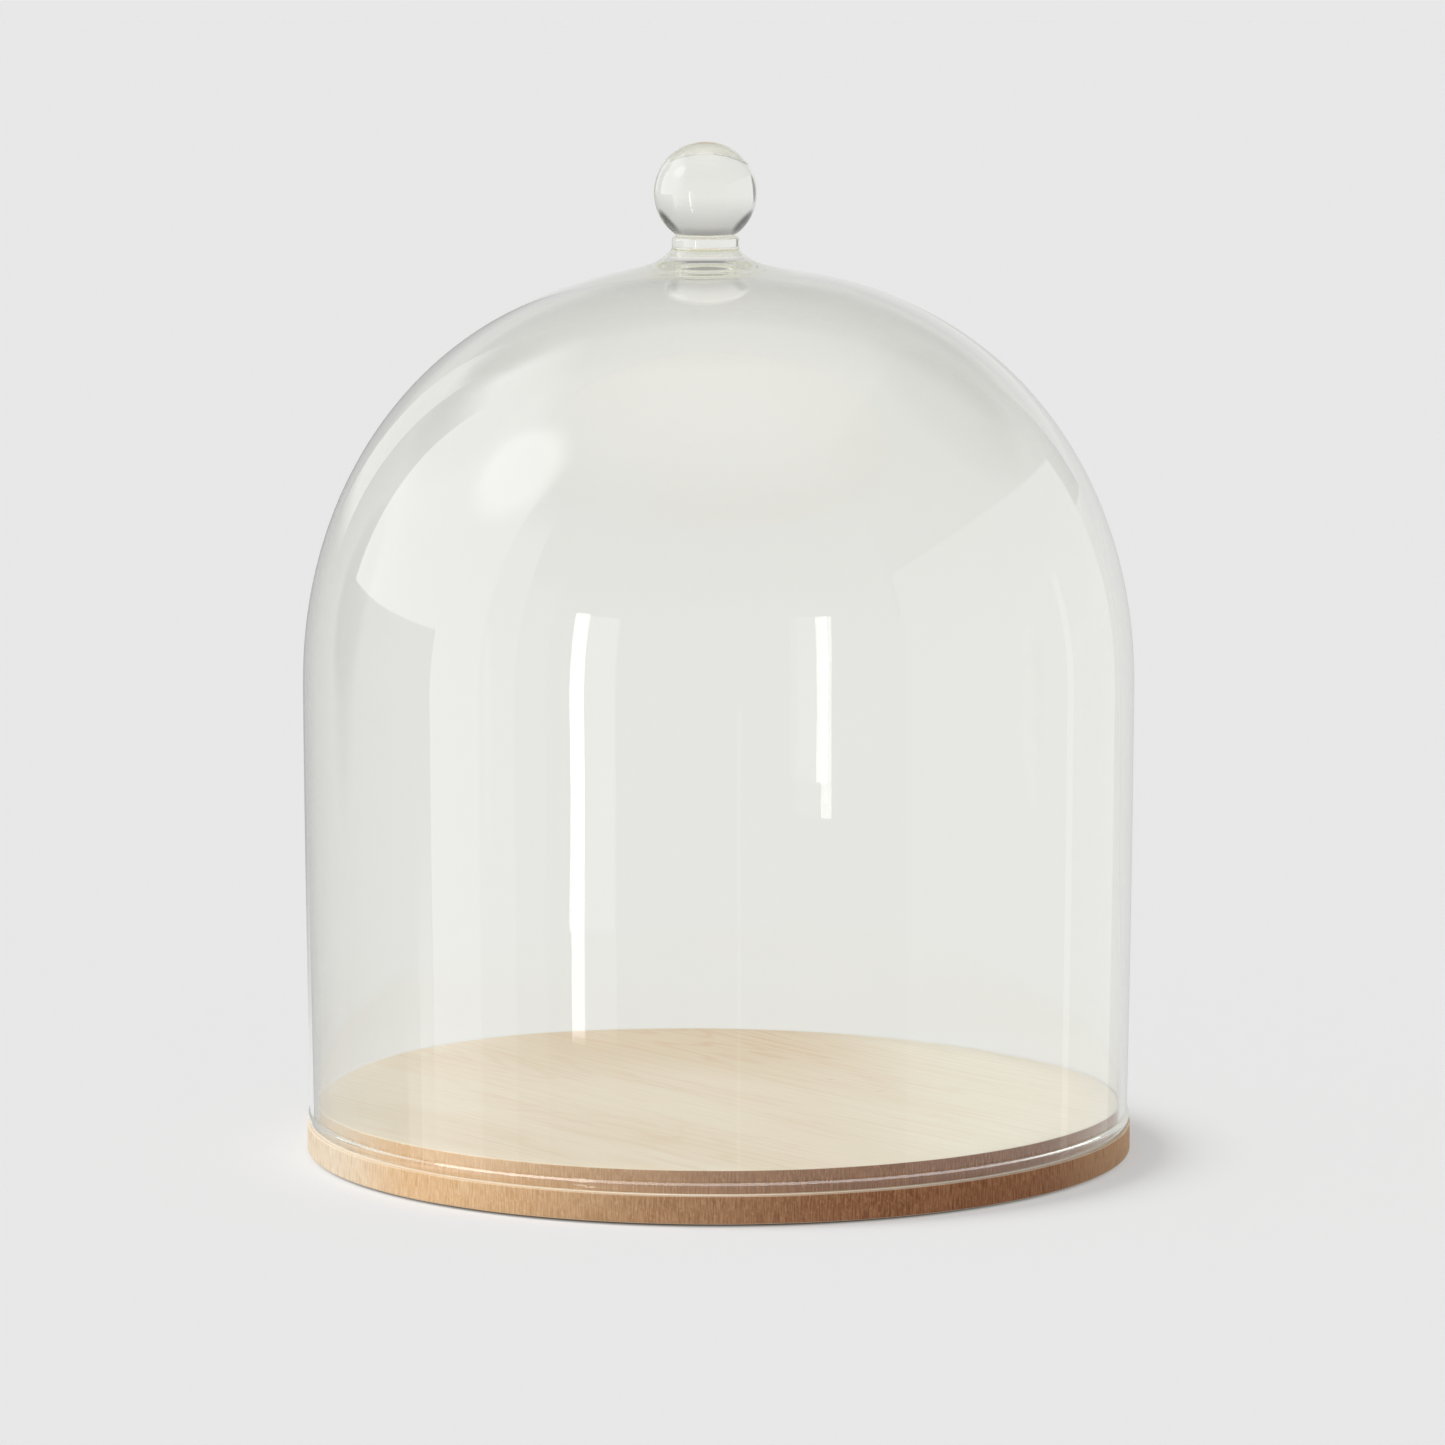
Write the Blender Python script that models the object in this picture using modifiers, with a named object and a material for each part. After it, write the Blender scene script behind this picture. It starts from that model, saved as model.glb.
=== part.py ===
"""A bell jar dome: a hand-blown glass bell with a solid glass ball knob, standing on the ledge of
a stepped round wooden base.

Metres, +Z up. The origin is the middle of the footprint, on the surface that the base stands on.
The base's axis and the bell's axis are both the Z axis. The knob is set a little off that axis.
"""

import math

import bmesh
import bpy

COLLECTION = "bell_jar_dome"
CUTTERS = "cutters"

# Clearance between two pieces that touch or are fused on the real object
GAP = 0.0003

# Wooden base: a lower board whose rim is the ledge, and a raised board that centres the bell
BASE_RADIUS = 0.1524
BASE_THICKNESS = 0.0100
PLATEAU_RADIUS = 0.1478
PLATEAU_THICKNESS = 0.0082
EASED_EDGE = 0.0005
BOARD_SEGMENTS = 96

# Felt pads under the lower board
PAD_RADIUS = 0.0100
PAD_THICKNESS = 0.0008
PAD_CIRCLE_RADIUS = 0.1180
PAD_COUNT = 4
PAD_SEGMENTS = 32

# Heights that follow from the stack of boards
BASE_BOTTOM = PAD_THICKNESS + GAP
LEDGE_HEIGHT = BASE_BOTTOM + BASE_THICKNESS
PLATEAU_BOTTOM = LEDGE_HEIGHT + GAP
MOUTH_HEIGHT = LEDGE_HEIGHT + GAP

# Glass bell: a barrel wall that narrows towards the mouth, under a superelliptic dome
MOUTH_RADIUS = 0.15125
WIDEST_RADIUS = 0.1528
WIDEST_HEIGHT = 0.1726
CROWN_HEIGHT = 0.3268
BARREL_POWER = 1.6
DOME_POWER_RADIUS = 2.218
DOME_POWER_HEIGHT = 2.075
MOUTH_WALL = 0.0030
MIDDLE_WALL = 0.0039
CROWN_WALL = 0.0060
LIP_HEIGHT = 0.0043
LIP_BULGE = 0.0003
BELL_SEGMENTS = 72
DOME_POINTS = 16
BARREL_POINTS = 5
LIP_POINTS = 6

# Glass neck collar: a flare that hugs the crown, and a short waisted stub above it
KNOB_OFFSET_X = -0.0048
NECK_RADIUS = 0.0123
WAIST_DEPTH = 0.0003
STUB_BOTTOM = 0.3328
STUB_TOP = 0.3373
FLARE_RISE = 0.00605
FLARE_LENGTH = 0.0051
FLARE_RADIUS = 0.0210
COLLAR_SEGMENTS = 48
FLARE_POINTS = 7
STUB_POINTS = 4

# Glass ball knob
BALL_RADIUS = 0.0188
BALL_CENTRE_HEIGHT = 0.3529
BALL_SEGMENTS = 40
BALL_POINTS = 16

# Colour, roughness, metallic and transmission of each material
CLEAR_GLASS = ("clear_glass", (0.93, 0.95, 0.91, 1.0), 0.02, 0.0, 1.0)
PALE_WOOD = ("pale_wood", (0.79, 0.68, 0.53, 1.0), 0.55, 0.0, 0.0)
DARK_FELT = ("dark_felt", (0.06, 0.05, 0.045, 1.0), 0.95, 0.0, 0.0)

SMOOTH_ANGLE = math.radians(35)


def clear_scene():
    for obj in list(bpy.data.objects):
        bpy.data.objects.remove(obj, do_unlink=True)


def new_collection(name):
    collection = bpy.data.collections.new(name)
    bpy.context.scene.collection.children.link(collection)
    return collection


def new_material(name, colour, roughness, metallic, transmission):
    material = bpy.data.materials.new(name)
    material.use_nodes = True
    shader = material.node_tree.nodes["Principled BSDF"]
    shader.inputs["Base Color"].default_value = colour
    shader.inputs["Roughness"].default_value = roughness
    shader.inputs["Metallic"].default_value = metallic
    shader.inputs["Transmission Weight"].default_value = transmission
    material.diffuse_color = colour
    return material


def add_object(name, mesh, collection, material=None):
    obj = bpy.data.objects.new(name, mesh)
    collection.objects.link(obj)
    if material:
        mesh.materials.append(material)
    return obj


def turned(name, outline, segments, collection, material=None):
    """A closed turned solid. The outline is (radius, height) points from the axis at the top,
    down the outer side, and back to the axis."""
    mesh = bpy.data.meshes.new(name)
    points = [(radius, 0.0, height) for radius, height in outline]
    mesh.from_pydata(points, [(i, i + 1) for i in range(len(points) - 1)], [])
    obj = add_object(name, mesh, collection, material)
    screw = obj.modifiers.new("turn", "SCREW")
    screw.axis = "Z"
    screw.angle = 2 * math.pi
    screw.steps = segments
    screw.render_steps = segments
    screw.use_merge_vertices = True
    screw.merge_threshold = 0.00001
    screw.use_smooth_shade = True
    return obj


def disc(name, radius, bottom, thickness, segments, collection, material, eased=0.0):
    """A flat round solid that stands on the height bottom, with its two rims eased."""
    mesh = bpy.data.meshes.new(name)
    shape = bmesh.new()
    bmesh.ops.create_cone(
        shape, cap_ends=True, segments=segments, radius1=radius, radius2=radius, depth=thickness
    )
    shape.to_mesh(mesh)
    shape.free()
    obj = add_object(name, mesh, collection, material)
    obj.location.z = bottom + thickness / 2
    if eased:
        bevel = obj.modifiers.new("eased_edges", "BEVEL")
        bevel.width = eased
        bevel.segments = 2
        bevel.limit_method = "ANGLE"
    mesh.shade_smooth()
    mesh.set_sharp_from_angle(angle=SMOOTH_ANGLE)
    return obj


def superellipse(radius, rise, fraction):
    """The point at a fraction of the quarter turn from the crown (0) to the widest ring (1)."""
    angle = (1 - fraction) * math.pi / 2
    across = radius * abs(math.cos(angle)) ** (2 / DOME_POWER_RADIUS)
    up = rise * math.sin(angle) ** (2 / DOME_POWER_HEIGHT)
    return across, WIDEST_HEIGHT + up


def dome_arc(radius, rise):
    """The dome from its crown down to its widest ring. Its points crowd towards the crown, where
    the superellipse is flattest."""
    arc = [superellipse(radius, rise, (i / DOME_POINTS) ** 1.4) for i in range(1, DOME_POINTS + 1)]
    return [(0.0, WIDEST_HEIGHT + rise)] + arc


def dome_height(radius):
    """Height of the bell's outer surface at this distance from its axis."""
    rise = CROWN_HEIGHT - WIDEST_HEIGHT
    share = 1 - (radius / WIDEST_RADIUS) ** DOME_POWER_RADIUS
    return WIDEST_HEIGHT + rise * share ** (1 / DOME_POWER_HEIGHT)


def barrel_radius(height):
    """Outer radius of the barrel wall, which narrows from the widest ring to the mouth."""
    drop = (WIDEST_HEIGHT - height) / (WIDEST_HEIGHT - MOUTH_HEIGHT)
    return WIDEST_RADIUS - (WIDEST_RADIUS - MOUTH_RADIUS) * drop**BARREL_POWER


def wall_thickness(height):
    share = (height - MOUTH_HEIGHT) / (WIDEST_HEIGHT - MOUTH_HEIGHT)
    return MOUTH_WALL + (MIDDLE_WALL - MOUTH_WALL) * share


def lip_arc():
    """The fire-polished lip, from its outer swelling, round the foot, to the inner wall."""
    outer = MOUTH_RADIUS + LIP_BULGE
    inner = MOUTH_RADIUS - MOUTH_WALL
    round_radius = (outer - inner) / 2
    centre = (outer + inner) / 2
    angles = [math.pi * i / (2 * LIP_POINTS) for i in range(2 * LIP_POINTS + 1)]
    return [
        (
            centre + round_radius * math.cos(angle),
            MOUTH_HEIGHT + round_radius * (1 - math.sin(angle)),
        )
        for angle in angles
    ]


def bell_outline():
    top_of_lip = MOUTH_HEIGHT + LIP_HEIGHT
    step = (WIDEST_HEIGHT - top_of_lip) / BARREL_POINTS
    heights = [WIDEST_HEIGHT - step * i for i in range(1, BARREL_POINTS + 1)]
    outer_wall = [(barrel_radius(z), z) for z in heights]
    inner_wall = [(barrel_radius(z) - wall_thickness(z), z) for z in reversed(heights)]
    outer_dome = dome_arc(WIDEST_RADIUS, CROWN_HEIGHT - WIDEST_HEIGHT)
    inner_rise = CROWN_HEIGHT - CROWN_WALL - WIDEST_HEIGHT
    inner_dome = dome_arc(WIDEST_RADIUS - MIDDLE_WALL, inner_rise)
    return outer_dome + outer_wall + lip_arc() + inner_wall + inner_dome[::-1]


def collar_outline():
    """The stub's flat top, its waist, the flare, and a skirt that the crown is cut out of."""
    stub_height = STUB_TOP - STUB_BOTTOM
    stub = []
    for i in range(STUB_POINTS + 1):
        share = i / STUB_POINTS
        waist = WAIST_DEPTH * math.sin(math.pi * share)
        stub.append((NECK_RADIUS - waist, STUB_TOP - stub_height * share))
    flare = []
    for i in range(1, FLARE_POINTS + 1):
        radius = NECK_RADIUS + (FLARE_RADIUS - NECK_RADIUS) * i / FLARE_POINTS
        rise = FLARE_RISE * math.exp((NECK_RADIUS - radius) / FLARE_LENGTH)
        flare.append((radius, dome_height(radius) + rise))
    skirt_bottom = CROWN_HEIGHT - CROWN_WALL
    return [(0.0, STUB_TOP)] + stub + flare + [(FLARE_RADIUS, skirt_bottom), (0.0, skirt_bottom)]


def ball_outline():
    """A sphere, cut flat where it sits on the stub."""
    cut_height = STUB_TOP + GAP
    last_angle = math.acos((cut_height - BALL_CENTRE_HEIGHT) / BALL_RADIUS)
    outline = []
    for i in range(BALL_POINTS + 1):
        angle = last_angle * i / BALL_POINTS
        height = BALL_CENTRE_HEIGHT + BALL_RADIUS * math.cos(angle)
        outline.append((BALL_RADIUS * math.sin(angle), height))
    return outline + [(0.0, cut_height)]


def make_base(parts, wood):
    disc(
        "base_disc", BASE_RADIUS, BASE_BOTTOM, BASE_THICKNESS, BOARD_SEGMENTS, parts, wood, EASED_EDGE
    )
    disc(
        "plateau_disc",
        PLATEAU_RADIUS,
        PLATEAU_BOTTOM,
        PLATEAU_THICKNESS,
        BOARD_SEGMENTS,
        parts,
        wood,
        EASED_EDGE,
    )


def make_pads(parts, felt):
    for i in range(PAD_COUNT):
        angle = 2 * math.pi * (i + 0.5) / PAD_COUNT
        pad = disc(
            f"felt_pad_{i + 1}", PAD_RADIUS, 0.0, PAD_THICKNESS, PAD_SEGMENTS, parts, felt
        )
        pad.location.x = PAD_CIRCLE_RADIUS * math.cos(angle)
        pad.location.y = PAD_CIRCLE_RADIUS * math.sin(angle)


def make_bell(parts, glass):
    return turned("glass_bell", bell_outline(), BELL_SEGMENTS, parts, glass)


def make_collar(parts, cutters, glass):
    """The collar, set off the bell's axis and hollowed below to the bell's crown."""
    collar = turned("neck_collar", collar_outline(), COLLAR_SEGMENTS, parts, glass)
    collar.location.x = KNOB_OFFSET_X
    grown = dome_arc(WIDEST_RADIUS + GAP, CROWN_HEIGHT + GAP - WIDEST_HEIGHT)
    crown = turned("crown_cutter", grown + [(0.0, WIDEST_HEIGHT)], BELL_SEGMENTS, cutters)
    crown.hide_render = True
    crown.display_type = "WIRE"
    cut = collar.modifiers.new("sit_on_crown", "BOOLEAN")
    cut.operation = "DIFFERENCE"
    cut.solver = "EXACT"
    cut.object = crown


def make_ball(parts, glass):
    ball = turned("ball_knob", ball_outline(), BALL_SEGMENTS, parts, glass)
    ball.location.x = KNOB_OFFSET_X


def main():
    clear_scene()
    parts = new_collection(COLLECTION)
    cutters = new_collection(CUTTERS)
    glass = new_material(*CLEAR_GLASS)
    wood = new_material(*PALE_WOOD)
    felt = new_material(*DARK_FELT)
    make_pads(parts, felt)
    make_base(parts, wood)
    make_bell(parts, glass)
    make_collar(parts, cutters, glass)
    make_ball(parts, glass)


main()
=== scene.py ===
"""The looks of the bell jar dome: one fused glass bell with its neck and ball knob, the two
wooden boards under it, and the felt pads. Everything is in metres, in the frame of the CAD."""

import math

import bmesh
import bpy
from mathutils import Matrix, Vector, noise


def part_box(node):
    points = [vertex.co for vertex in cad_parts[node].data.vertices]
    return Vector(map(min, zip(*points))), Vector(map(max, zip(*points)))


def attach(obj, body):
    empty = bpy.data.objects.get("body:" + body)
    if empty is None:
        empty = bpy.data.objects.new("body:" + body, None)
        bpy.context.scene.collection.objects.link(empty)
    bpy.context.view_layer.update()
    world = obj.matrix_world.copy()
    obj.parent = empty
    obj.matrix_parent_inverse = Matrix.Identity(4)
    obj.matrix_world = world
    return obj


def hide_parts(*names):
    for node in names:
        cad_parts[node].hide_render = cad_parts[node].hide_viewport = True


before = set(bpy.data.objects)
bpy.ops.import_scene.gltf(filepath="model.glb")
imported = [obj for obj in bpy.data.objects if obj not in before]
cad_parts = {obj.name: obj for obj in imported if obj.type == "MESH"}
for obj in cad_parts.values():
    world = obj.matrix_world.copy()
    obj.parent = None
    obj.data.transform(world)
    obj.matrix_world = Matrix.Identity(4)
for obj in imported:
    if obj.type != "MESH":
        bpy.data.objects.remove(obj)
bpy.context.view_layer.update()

# ---------------------------------------------------------------- sizes read from the frame

BELL_LOW, BELL_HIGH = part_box("glass_bell")
BALL_LOW, BALL_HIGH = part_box("ball_knob")
BASE_LOW, BASE_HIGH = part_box("base_disc")
PLATEAU_LOW, PLATEAU_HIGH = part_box("plateau_disc")

KNOB_X = (BALL_LOW.x + BALL_HIGH.x) / 2
BALL_RADIUS = (BALL_HIGH.x - BALL_LOW.x) / 2
BALL_CENTRE = BALL_HIGH.z - BALL_RADIUS
BASE_RADIUS = (BASE_HIGH.x - BASE_LOW.x) / 2
PLATEAU_RADIUS = (PLATEAU_HIGH.x - PLATEAU_LOW.x) / 2
MOUTH_HEIGHT = BELL_LOW.z
CROWN_HEIGHT = BELL_HIGH.z
WIDEST_RADIUS = (BELL_HIGH.x - BELL_LOW.x) / 2
STUB_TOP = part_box("neck_collar")[1].z

# ---------------------------------------------------------------- shape of the blown glass

# The barrel draws in toward the mouth, and the dome above the widest ring is a superellipse
WIDEST_HEIGHT = 0.1726
MOUTH_RADIUS = 0.15125
BARREL_POWER = 1.6
DOME_POWER_RADIUS = 2.218
DOME_POWER_HEIGHT = 2.075
MOUTH_WALL = 0.0030
MIDDLE_WALL = 0.0039
CROWN_WALL = 0.0032
LIP_HEIGHT = 0.0043
LIP_BULGE = 0.0007
LIP_BULGE_FADE = (0.72, 1.0)
LIP_SHOULDER = 1.15 * LIP_HEIGHT

# The solid neck, into which the crown flares up, and the crease between it and the ball
NECK_RADIUS = 0.0123
FILLET = 0.0020
SHOULDER_HEIGHT = 0.0013
FLARE_RISE = 0.00605
FLARE_LENGTH = 0.0051
FLARE_START = 0.030
OFFSET_FADE_RADIUS = 0.060
CREASE_RADIUS = 0.0108
CREASE_GAP = 0.0003
CREASE_HALF_HEIGHT = 0.0009
SCALLOPS = 21
SCALLOP_DEPTH = 0.00009

# The cavity stands a little off the axis higher up
CAVITY_SHIFT_X = -0.0010
CAVITY_SHIFT_HEIGHTS = (0.03, 0.11)
CAVITY_TIP_RADIUS = 0.0015

# Ripples of the blown wall: slow swells and finer cords, in waves per metre along X, Y and Z
OUTER_WAVE = 0.00005
INNER_WAVE = 0.00012
SWELLS = (14, 14, 9)
CORDS = (42, 42, 13)
CORD_SHARE = 0.45
WAVE_INSET = 0.3
CALM_FOOT = (MOUTH_HEIGHT + 0.001, 0.04)
CALM_CROWN = (CROWN_HEIGHT - 0.02, CROWN_HEIGHT)
KNOB_WAVE = 0.00010
KNOB_WAVES_PER_METRE = 110
KNOB_CALM_RADIUS = 0.006

# How finely each stretch of the glass is made
GLASS_SEGMENTS = 224
BALL_RINGS = 56
BALL_FOOT_RINGS = 4
STUB_RINGS = 6
FILLET_RINGS = 8
SHOULDER_RINGS = 8
FLARE_RINGS = 26
DOME_RINGS = 90
BARREL_RINGS = 50
BARREL_CROWDING = 1.4
LIP_RINGS = 14

FLARE_SLOPE = math.atan(FLARE_RISE / FLARE_LENGTH)


def smooth_step(value, low, high):
    share = min(1.0, max(0.0, (value - low) / (high - low)))
    return share * share * (3 - 2 * share)


def spread(start, end, count):
    """Evenly spread values after start, up to and with end."""
    return [start + (end - start) * i / count for i in range(1, count + 1)]


def dome_height(radius, widest, rise):
    share = max(0.0, 1 - (radius / widest) ** DOME_POWER_RADIUS)
    return WIDEST_HEIGHT + rise * share ** (1 / DOME_POWER_HEIGHT)


def dome_radii(widest, smallest, count):
    """Radii from the widest ring in to the smallest, evenly spread along the dome's arc."""
    radii = [widest * max(0.0, math.cos(angle)) ** (2 / DOME_POWER_RADIUS)
             for angle in spread(0, math.pi / 2, count)]
    return [radius for radius in radii if radius > smallest] + [smallest]


def barrel_radius(height):
    drop = (WIDEST_HEIGHT - height) / (WIDEST_HEIGHT - MOUTH_HEIGHT)
    return WIDEST_RADIUS - (WIDEST_RADIUS - MOUTH_RADIUS) * drop**BARREL_POWER


def wall_thickness(height):
    share = (height - MOUTH_HEIGHT) / (WIDEST_HEIGHT - MOUTH_HEIGHT)
    return MOUTH_WALL + (MIDDLE_WALL - MOUTH_WALL) * share


def lip_swelling(height):
    """The fire-polished lip stands a little proud of the wall over its last few millimetres."""
    share = (height - MOUTH_HEIGHT) / LIP_HEIGHT
    return LIP_BULGE * (1 - smooth_step(share, *LIP_BULGE_FADE))


def lip_half(outward):
    """Rings of one half of the lip's round foot, as (radius, height), from the foot up."""
    outer = MOUTH_RADIUS + LIP_BULGE
    inner = MOUTH_RADIUS - MOUTH_WALL
    centre, size = (outer + inner) / 2, (outer - inner) / 2
    rings = []
    for i in range(LIP_RINGS + 1):
        angle = math.pi / 2 * i / LIP_RINGS
        radius = centre + outward * size * math.sin(angle)
        rings.append((radius, MOUTH_HEIGHT + size * (1 - math.cos(angle))))
    return rings


def barrel_heights():
    """Ring heights of the wall above the lip's round foot, crowded toward the lip."""
    foot = MOUTH_HEIGHT + (MOUTH_WALL + LIP_BULGE) / 2
    shoulder = MOUTH_HEIGHT + LIP_SHOULDER
    above = [shoulder + (WIDEST_HEIGHT - shoulder) * share**BARREL_CROWDING
             for share in spread(0, 1, BARREL_RINGS)]
    return spread(foot, shoulder, LIP_RINGS) + above


def crown_ring(radius):
    """A ring of the outer dome, which flares up into the neck and leans over to the knob."""
    flare = FLARE_RISE * math.exp((NECK_RADIUS - radius) / FLARE_LENGTH)
    centre = KNOB_X * (1 - smooth_step(radius, NECK_RADIUS, OFFSET_FADE_RADIUS))
    return radius, dome_height(radius, WIDEST_RADIUS, CROWN_HEIGHT - WIDEST_HEIGHT) + flare, centre


def bell_rings():
    """Rings of the outer surface from the lip's foot to the foot of the stub's fillet, each as
    (radius, height, centre x)."""
    rings = [(radius, height, 0.0) for radius, height in lip_half(1)]
    for height in barrel_heights():
        rings.append((barrel_radius(height) + lip_swelling(height), height, 0.0))
    for radius in dome_radii(WIDEST_RADIUS, FLARE_START, DOME_RINGS):
        rings.append(crown_ring(radius))
    fillet_start = NECK_RADIUS + FILLET * (1 - math.sin(FLARE_SLOPE))
    for radius in spread(FLARE_START, fillet_start, FLARE_RINGS):
        rings.append(crown_ring(radius))
    return rings


def stub_rings(foot):
    """Rings of the short neck on its fillet, whose foot is at this height, up to the crease."""
    rings = []
    for angle in spread(FLARE_SLOPE, math.pi / 2, FILLET_RINGS):
        radius = NECK_RADIUS + FILLET * (1 - math.sin(angle))
        rings.append((radius, foot + FILLET * (math.cos(FLARE_SLOPE) - math.cos(angle)), KNOB_X))
    for height in spread(rings[-1][1], STUB_TOP - SHOULDER_HEIGHT, STUB_RINGS):
        rings.append((NECK_RADIUS, height, KNOB_X))
    for angle in spread(0, math.pi / 2, SHOULDER_RINGS):
        radius = NECK_RADIUS - (NECK_RADIUS - CREASE_RADIUS) * (1 - math.cos(angle))
        height = STUB_TOP - SHOULDER_HEIGHT * (1 - math.sin(angle))
        rings.append((radius, height, KNOB_X))
    return rings


def ball_rings():
    """Rings of the knob from the crease to just short of its top."""
    lowest_angle = math.pi - math.asin(CREASE_RADIUS / BALL_RADIUS)
    lift = STUB_TOP + CREASE_GAP - (BALL_CENTRE + BALL_RADIUS * math.cos(lowest_angle))
    rings = []
    for i in range(BALL_RINGS):
        angle = lowest_angle * (1 - i / BALL_RINGS)
        height = BALL_CENTRE + BALL_RADIUS * math.cos(angle)
        height += lift * smooth_step(i, BALL_FOOT_RINGS, 0)
        rings.append((BALL_RADIUS * math.sin(angle), height, KNOB_X))
    return rings


def outer_rings():
    bell = bell_rings()
    return bell + stub_rings(bell[-1][1]) + ball_rings()


def inner_rings():
    """(radius, height, centre x) of each ring of the cavity, from above the foot to the crown."""
    rings = [(radius, height, 0.0) for radius, height in lip_half(-1)[1:]]
    for height in barrel_heights():
        shift = CAVITY_SHIFT_X * smooth_step(height, *CAVITY_SHIFT_HEIGHTS)
        rings.append((barrel_radius(height) - wall_thickness(height), height, shift))
    widest = WIDEST_RADIUS - MIDDLE_WALL
    rise = CROWN_HEIGHT - CROWN_WALL - WIDEST_HEIGHT
    for radius in dome_radii(widest, CAVITY_TIP_RADIUS, DOME_RINGS):
        toward_knob = 1 - smooth_step(radius, 0.0, OFFSET_FADE_RADIUS)
        centre = CAVITY_SHIFT_X + (KNOB_X - CAVITY_SHIFT_X) * toward_knob
        rings.append((radius, dome_height(radius, widest, rise), centre))
    return rings


def noise_at(point, waves):
    """Smooth noise, with its waves per metre along X, Y and Z."""
    return noise.noise(Vector([place * count for place, count in zip(point, waves)]))


def ripple(point, wave):
    """How far blown glass stands off its true shape here: mostly inward, to stay in the CAD's
    box."""
    return wave * (noise_at(point, SWELLS) + CORD_SHARE * noise_at(point, CORDS) - WAVE_INSET)


def glass_point(ring, angle, wave):
    radius, height, centre = ring
    point = Vector((centre + radius * math.cos(angle), radius * math.sin(angle), height))
    above_foot = smooth_step(height, *CALM_FOOT)
    below_crown = 1 - smooth_step(height, *CALM_CROWN)
    stand_off = ripple(point, wave) * above_foot * below_crown
    if height > STUB_TOP:
        dents = KNOB_WAVE * noise.noise(point * KNOB_WAVES_PER_METRE)
        stand_off += dents * smooth_step(radius, 0, KNOB_CALM_RADIUS)
    fold = math.exp(-(((height - STUB_TOP) / CREASE_HALF_HEIGHT) ** 2))
    stand_off += SCALLOP_DEPTH * fold * math.cos(SCALLOPS * angle)
    point.x += stand_off * math.cos(angle)
    point.y += stand_off * math.sin(angle)
    return point


def add_ring(mesh, points):
    return [mesh.verts.new(point) for point in points]


def join_rings(mesh, low, high):
    for i in range(len(low)):
        after = (i + 1) % len(low)
        mesh.faces.new((low[i], low[after], high[after], high[i]))


def join_all_rings(mesh, rings):
    for low, high in zip(rings, rings[1:]):
        join_rings(mesh, low, high)


def close_with_point(mesh, ring, point):
    tip = mesh.verts.new(point)
    for i in range(len(ring)):
        mesh.faces.new((ring[i], ring[(i + 1) % len(ring)], tip))


def make_solid(mesh, rings, foot, top):
    """Joins rings from the lowest to the highest and closes both ends with a point."""
    join_all_rings(mesh, rings)
    close_with_point(mesh, rings[0][::-1], foot)
    close_with_point(mesh, rings[-1], top)


def angles(count):
    """Angles evenly spread round a full turn."""
    return [2 * math.pi * i / count for i in range(count)]


def link_to_scene(item):
    bpy.context.scene.collection.objects.link(item)
    return item


def new_object(mesh, name, material):
    data = bpy.data.meshes.new(name)
    mesh.to_mesh(data)
    mesh.free()
    data.materials.append(material)
    return link_to_scene(bpy.data.objects.new(name, data))


def new_piece(mesh, name, material, body, replaced):
    """Finishes a mesh as a piece that stands for CAD nodes and moves with a body."""
    bmesh.ops.recalc_face_normals(mesh, faces=mesh.faces)
    piece = new_object(mesh, name, material)
    piece.data.shade_smooth()
    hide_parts(*replaced)
    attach(piece, body)


def make_glass():
    """The bell, the neck and the knob in one closed mesh, because they are fused."""
    mesh = bmesh.new()
    turns = angles(GLASS_SEGMENTS)
    cavity = inner_rings()
    outer = [add_ring(mesh, [glass_point(ring, turn, OUTER_WAVE) for turn in turns])
             for ring in outer_rings()]
    inner = [add_ring(mesh, [glass_point(ring, turn, INNER_WAVE) for turn in turns])
             for ring in cavity]
    join_all_rings(mesh, outer)
    close_with_point(mesh, outer[-1], (KNOB_X, 0.0, BALL_HIGH.z))
    join_rings(mesh, inner[0], outer[0])
    for low, high in zip(inner, inner[1:]):
        join_rings(mesh, high, low)
    _, height, centre = cavity[-1]
    close_with_point(mesh, inner[-1][::-1], (centre, 0.0, height))
    new_piece(mesh, "blown_glass", glass_material(), "dome",
              ("glass_bell", "neck_collar", "ball_knob"))


# ---------------------------------------------------------------- wooden boards

BOARD_SEGMENTS = 360
ARRIS = 0.0005
ARRIS_WEAR = 0.00016
WEAR_WAVES_AROUND = 8
WEAR_WAVES_PER_METRE = 50
ARRIS_RINGS = 4
SIDE_RINGS = 6
FACE_RINGS = 10


def board_rings(radius, low, high, arris):
    """Rings of a round board as (radius, height), from the middle below to the middle above."""
    face = radius - arris
    quarter = spread(0, math.pi / 2, ARRIS_RINGS)
    rings = [(face * share, low) for share in spread(0, 1, FACE_RINGS)]
    for angle in quarter:
        rings.append((face + arris * math.sin(angle), low + arris * (1 - math.cos(angle))))
    for height in spread(low + arris, high - arris, SIDE_RINGS):
        rings.append((radius, height))
    for angle in quarter:
        rings.append((face + arris * math.cos(angle), high - arris + arris * math.sin(angle)))
    for share in spread(1, 0, FACE_RINGS)[:-1]:
        rings.append((face * share, high))
    return rings


def make_board(name, node, low, high, radius, material):
    """A round board whose arrises are eased by hand, so a little more here than there."""
    mesh = bmesh.new()
    columns = []
    for angle in angles(BOARD_SEGMENTS):
        along_x, along_y = math.cos(angle), math.sin(angle)
        wear = noise.noise(Vector((WEAR_WAVES_AROUND * along_x, WEAR_WAVES_AROUND * along_y,
                                   WEAR_WAVES_PER_METRE * high)))
        column = board_rings(radius, low, high, ARRIS + ARRIS_WEAR * wear)
        columns.append([(ring * along_x, ring * along_y, height) for ring, height in column])
    rings = [add_ring(mesh, ring) for ring in zip(*columns)]
    make_solid(mesh, rings, (0, 0, low), (0, 0, high))
    new_piece(mesh, name, material, "base", (node,))


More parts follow.
